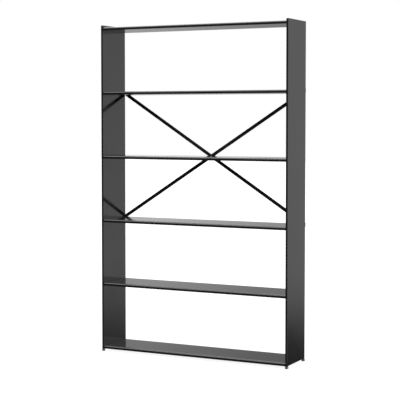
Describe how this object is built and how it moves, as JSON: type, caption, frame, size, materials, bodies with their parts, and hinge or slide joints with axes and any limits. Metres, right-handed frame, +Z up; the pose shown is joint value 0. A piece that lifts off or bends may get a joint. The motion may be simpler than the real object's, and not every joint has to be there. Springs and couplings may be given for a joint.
{
  "type": "bookcase with adjustable shelves",
  "caption": "Tall open-backed black sheet-steel bookcase with thin shelves on removable supports, a crossed flat-bar back brace and screw-in levelling feet.",
  "frame": {"origin": "centre of the footprint, on the floor under the feet", "axes": "+X to the right seen from the front, +Y to the back where the brace is, +Z up"},
  "size_m": [1.208, 0.2728, 1.946],
  "materials": {
    "panel_lacquer": "smooth black lacquer, semi-gloss, on folded steel sheet",
    "shelf_lacquer": "smooth black lacquer, semi-gloss, on folded steel sheet",
    "brace_lacquer": "smooth black lacquer on flat steel bar",
    "inner_steel": "zinc-coated steel, matt, hidden inside the panels and shelves",
    "plated_steel": "nickel-plated turned steel",
    "black_screws": "black-oxide steel, lightly oiled",
    "foot_plastic": "moulded dark grey nylon, glossy"
  },
  "bodies": {
    "frame": {"bottom_shelf": "shelf_lacquer", "bottom_shelf_bottom_plate": "shelf_lacquer", "bottom_shelf_end_bars": "inner_steel", "bottom_shelf_ribs": "inner_steel", "bottom_shelf_studs": "plated_steel", "bottom_shelf_screws": "black_screws", "shelf_5_supports": "plated_steel", "shelf_4_supports": "plated_steel", "shelf_3_supports": "plated_steel", "shelf_2_supports": "plated_steel", "top_shelf": "shelf_lacquer", "top_shelf_bottom_plate": "shelf_lacquer", "top_shelf_end_bars": "inner_steel", "top_shelf_ribs": "inner_steel", "top_shelf_studs": "plated_steel", "top_shelf_screws": "black_screws", "left_panel_shell": "panel_lacquer", "left_panel_inner_skin": "panel_lacquer", "left_panel_channels": "inner_steel", "left_panel_top_block": "inner_steel", "left_panel_foot_block": "inner_steel", "right_panel_shell": "panel_lacquer", "right_panel_inner_skin": "panel_lacquer", "right_panel_channels": "inner_steel", "right_panel_top_block": "inner_steel", "right_panel_foot_block": "inner_steel", "brace_front_bar": "brace_lacquer", "brace_back_bar": "brace_lacquer", "brace_rivet": "black_screws", "brace_screws": "black_screws", "brace_spacers": "black_screws", "brace_nut_blocks": "inner_steel"},
    "loose_shelf_5": {"shelf_5": "shelf_lacquer", "shelf_5_bottom_plate": "shelf_lacquer", "shelf_5_end_bars": "inner_steel", "shelf_5_ribs": "inner_steel"},
    "loose_shelf_4": {"shelf_4": "shelf_lacquer", "shelf_4_bottom_plate": "shelf_lacquer", "shelf_4_end_bars": "inner_steel", "shelf_4_ribs": "inner_steel"},
    "loose_shelf_3": {"shelf_3": "shelf_lacquer", "shelf_3_bottom_plate": "shelf_lacquer", "shelf_3_end_bars": "inner_steel", "shelf_3_ribs": "inner_steel"},
    "loose_shelf_2": {"shelf_2": "shelf_lacquer", "shelf_2_bottom_plate": "shelf_lacquer", "shelf_2_end_bars": "inner_steel", "shelf_2_ribs": "inner_steel"},
    "left_front_foot": {"left_front_foot_pad": "foot_plastic", "left_front_foot_stud": "black_screws"},
    "left_back_foot": {"left_back_foot_pad": "foot_plastic", "left_back_foot_stud": "black_screws"},
    "right_front_foot": {"right_front_foot_pad": "foot_plastic", "right_front_foot_stud": "black_screws"},
    "right_back_foot": {"right_back_foot_pad": "foot_plastic", "right_back_foot_stud": "black_screws"}
  },
  "joints": [
    {"name": "shelf_5_lift", "type": "slide", "parent": "frame", "child": "loose_shelf_5", "axis": [0, 0, 1], "range_m": [0, 0.076]},
    {"name": "shelf_4_lift", "type": "slide", "parent": "frame", "child": "loose_shelf_4", "axis": [0, 0, 1], "range_m": [0, 0.076]},
    {"name": "shelf_3_lift", "type": "slide", "parent": "frame", "child": "loose_shelf_3", "axis": [0, 0, 1], "range_m": [0, 0.076]},
    {"name": "shelf_2_lift", "type": "slide", "parent": "frame", "child": "loose_shelf_2", "axis": [0, 0, 1], "range_m": [0, 0.076]},
    {"name": "left_front_foot_height", "type": "slide", "parent": "frame", "child": "left_front_foot", "axis": [0, 0, -1], "range_m": [0, 0.012]},
    {"name": "left_back_foot_height", "type": "slide", "parent": "frame", "child": "left_back_foot", "axis": [0, 0, -1], "range_m": [0, 0.012]},
    {"name": "right_front_foot_height", "type": "slide", "parent": "frame", "child": "right_front_foot", "axis": [0, 0, -1], "range_m": [0, 0.012]},
    {"name": "right_back_foot_height", "type": "slide", "parent": "frame", "child": "right_back_foot", "axis": [0, 0, -1], "range_m": [0, 0.012]}
  ]
}
